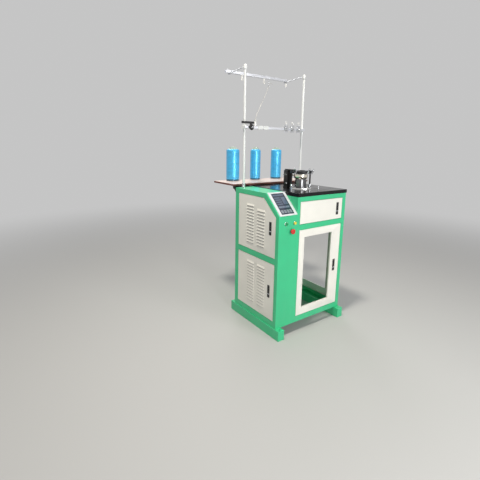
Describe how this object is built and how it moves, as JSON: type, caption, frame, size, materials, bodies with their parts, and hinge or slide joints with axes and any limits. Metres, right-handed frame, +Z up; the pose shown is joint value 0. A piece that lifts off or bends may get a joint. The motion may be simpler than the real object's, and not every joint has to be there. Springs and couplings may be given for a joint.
{
  "type": "industrial knitting machine",
  "caption": "Small circular knitting machine on a sheet metal cabinet, with an operator panel, uprights, a yarn tension bar, a guide bar and a creel board with spools.",
  "frame": {"origin": "centre of the four anchor holes in the undersides of the base rails, on the floor under the middle of the cabinet", "axes": "X along the front to the right, Y to the rear, Z up"},
  "size_m": [0.888, 0.975, 2.0795],
  "materials": {
    "green_paint": "satin",
    "cream_paint": "satin",
    "black_paint": "gloss",
    "black_metal": "satin",
    "bright_steel": "satin",
    "chrome": "polished",
    "cast_alloy": "satin",
    "white_tube": "gloss",
    "white_plastic": "gloss",
    "screen_plastic": "gloss",
    "green_plastic": "gloss",
    "yellow_plastic": "gloss",
    "red_plastic": "gloss",
    "grey_plastic": "matte",
    "black_plastic": "matte",
    "black_rubber": "matte",
    "motor_paint": "satin",
    "board": "matte",
    "blue_yarn": "gloss",
    "pale_yarn": "matte"
  },
  "bodies": {
    "machine": {"base_rails": "green_paint", "front_frame": "green_paint", "left_frame": "green_paint", "right_frame": "green_paint", "rear_panel": "green_paint", "partition": "green_paint", "control_hood": "green_paint", "drive_shelf": "green_paint", "table_top": "black_paint", "screws": "bright_steel", "operator_panel": "white_plastic", "panel_screen": "screen_plastic", "button_holders": "chrome", "control_plate": "grey_plastic", "bearing_housing": "bright_steel", "feeder_ring": "black_metal", "cam_ring": "bright_steel", "head_column": "black_metal", "yarn_feeders": "chrome", "motor": "motor_paint", "drive_belt": "black_rubber", "uprights": "white_tube", "upright_sockets": "chrome", "guide_bar": "cast_alloy", "hanging_eyelets": "chrome", "tension_bar": "white_tube", "tension_units": "chrome", "creel_board": "board", "creel_brackets": "black_metal", "spindles": "bright_steel", "spool_1": "blue_yarn", "spool_2": "blue_yarn", "spool_3": "blue_yarn", "yarn": "pale_yarn"},
    "knitting_cylinder": {"needle_cylinder": "bright_steel", "needles": "chrome", "cylinder_pulley": "cast_alloy", "takedown_yoke": "cast_alloy"},
    "roller_a": {"takedown_roller_a": "bright_steel"},
    "roller_b": {"takedown_roller_b": "bright_steel"},
    "drive_wheel": {"takedown_wheel": "black_rubber"},
    "motor_shaft": {"motor_pulley": "cast_alloy"},
    "front_upper_door_body": {"front_upper_door": "cream_paint"},
    "front_upper_lever_body": {"front_upper_lever": "black_plastic"},
    "front_upper_push_body": {"front_upper_push": "black_plastic"},
    "front_lower_door_body": {"front_lower_door": "cream_paint"},
    "front_lower_lever_body": {"front_lower_lever": "black_plastic"},
    "front_lower_push_body": {"front_lower_push": "black_plastic"},
    "left_upper_door_body": {"left_upper_door": "cream_paint"},
    "left_upper_lever_body": {"left_upper_lever": "black_plastic"},
    "left_upper_push_body": {"left_upper_push": "black_plastic"},
    "left_lower_door_body": {"left_lower_door": "cream_paint"},
    "left_lower_lever_body": {"left_lower_lever": "black_plastic"},
    "left_lower_push_body": {"left_lower_push": "black_plastic"},
    "right_door_body": {"right_door": "cream_paint"},
    "right_lever_body": {"right_lever": "black_plastic"},
    "right_push_body": {"right_push": "black_plastic"},
    "start_button_body": {"start_button": "green_plastic"},
    "reset_button_body": {"reset_button": "yellow_plastic"},
    "stop_button_body": {"stop_button": "red_plastic"}
  },
  "joints": [
    {"name": "cylinder_turn", "type": "hinge", "parent": "machine", "child": "knitting_cylinder", "pos_m": [0.0725, -0.0375, 1.108], "axis": [0, 0, 1], "continuous": true},
    {"name": "roller_a_turn", "type": "hinge", "parent": "knitting_cylinder", "child": "roller_a", "pos_m": [0.0573, -0.0375, 0.968], "axis": [0, 1, 0], "continuous": true},
    {"name": "roller_b_turn", "type": "hinge", "parent": "knitting_cylinder", "child": "roller_b", "pos_m": [0.0877, -0.0375, 0.968], "axis": [0, 1, 0], "continuous": true},
    {"name": "wheel_turn", "type": "hinge", "parent": "knitting_cylinder", "child": "drive_wheel", "pos_m": [0.0725, -0.1275, 0.8883], "axis": [0, 1, 0], "continuous": true},
    {"name": "motor_turn", "type": "hinge", "parent": "machine", "child": "motor_shaft", "pos_m": [0.2425, 0.0225, 1.03], "axis": [0, 0, 1], "continuous": true},
    {"name": "front_upper_door_hinge", "type": "hinge", "parent": "machine", "child": "front_upper_door_body", "pos_m": [-0.143, -0.272, 0.958], "axis": [0, 0, -1], "range_deg": [0, 110]},
    {"name": "front_upper_lever_hinge", "type": "hinge", "parent": "front_upper_door_body", "child": "front_upper_lever_body", "pos_m": [0.2615, -0.2745, 1], "axis": [-1, 0, 0], "range_deg": [0, 35]},
    {"name": "front_upper_push_slide", "type": "slide", "parent": "front_upper_door_body", "child": "front_upper_push_body", "axis": [0, 1, 0], "range_m": [0, 0.003], "stiffness_N_per_m": 200},
    {"name": "front_lower_door_hinge", "type": "hinge", "parent": "machine", "child": "front_lower_door_body", "pos_m": [-0.143, -0.272, 0.478], "axis": [0, 0, -1], "range_deg": [0, 110]},
    {"name": "front_lower_lever_hinge", "type": "hinge", "parent": "front_lower_door_body", "child": "front_lower_lever_body", "pos_m": [0.2615, -0.2745, 0.52], "axis": [-1, 0, 0], "range_deg": [0, 35]},
    {"name": "front_lower_push_slide", "type": "slide", "parent": "front_lower_door_body", "child": "front_lower_push_body", "axis": [0, 1, 0], "range_m": [0, 0.003], "stiffness_N_per_m": 200},
    {"name": "left_upper_door_hinge", "type": "hinge", "parent": "machine", "child": "left_upper_door_body", "pos_m": [-0.352, 0.223, 0.848], "axis": [0, 0, -1], "range_deg": [0, 110]},
    {"name": "left_upper_lever_hinge", "type": "hinge", "parent": "left_upper_door_body", "child": "left_upper_lever_body", "pos_m": [-0.3545, -0.1835, 0.89], "axis": [0, 1, 0], "range_deg": [0, 35]},
    {"name": "left_upper_push_slide", "type": "slide", "parent": "left_upper_door_body", "child": "left_upper_push_body", "axis": [1, 0, 0], "range_m": [0, 0.003], "stiffness_N_per_m": 200},
    {"name": "left_lower_door_hinge", "type": "hinge", "parent": "machine", "child": "left_lower_door_body", "pos_m": [-0.352, 0.223, 0.355], "axis": [0, 0, -1], "range_deg": [0, 110]},
    {"name": "left_lower_lever_hinge", "type": "hinge", "parent": "left_lower_door_body", "child": "left_lower_lever_body", "pos_m": [-0.3545, -0.1835, 0.397], "axis": [0, 1, 0], "range_deg": [0, 35]},
    {"name": "left_lower_push_slide", "type": "slide", "parent": "left_lower_door_body", "child": "left_lower_push_body", "axis": [1, 0, 0], "range_m": [0, 0.003], "stiffness_N_per_m": 200},
    {"name": "right_door_hinge", "type": "hinge", "parent": "machine", "child": "right_door_body", "pos_m": [0.352, 0.223, 0.478], "axis": [0, 0, 1], "range_deg": [0, 110]},
    {"name": "right_lever_hinge", "type": "hinge", "parent": "right_door_body", "child": "right_lever_body", "pos_m": [0.3545, -0.1835, 0.52], "axis": [0, -1, 0], "range_deg": [0, 35]},
    {"name": "right_push_slide", "type": "slide", "parent": "right_door_body", "child": "right_push_body", "axis": [-1, 0, 0], "range_m": [0, 0.003], "stiffness_N_per_m": 200},
    {"name": "start_button_slide", "type": "slide", "parent": "machine", "child": "start_button_body", "axis": [0, 1, 0], "range_m": [0, 0.0035], "stiffness_N_per_m": 300},
    {"name": "reset_button_slide", "type": "slide", "parent": "machine", "child": "reset_button_body", "axis": [0, 1, 0], "range_m": [0, 0.0035], "stiffness_N_per_m": 300},
    {"name": "stop_button_slide", "type": "slide", "parent": "machine", "child": "stop_button_body", "axis": [0, 1, 0], "range_m": [0, 0.005], "stiffness_N_per_m": 300}
  ],
  "couplings": [
    {"joint": "motor_turn", "follows": "cylinder_turn", "ratio": 3.25},
    {"joint": "wheel_turn", "follows": "cylinder_turn", "ratio": 4.5},
    {"joint": "roller_a_turn", "follows": "cylinder_turn", "ratio": 0.075},
    {"joint": "roller_b_turn", "follows": "cylinder_turn", "ratio": -0.075}
  ]
}
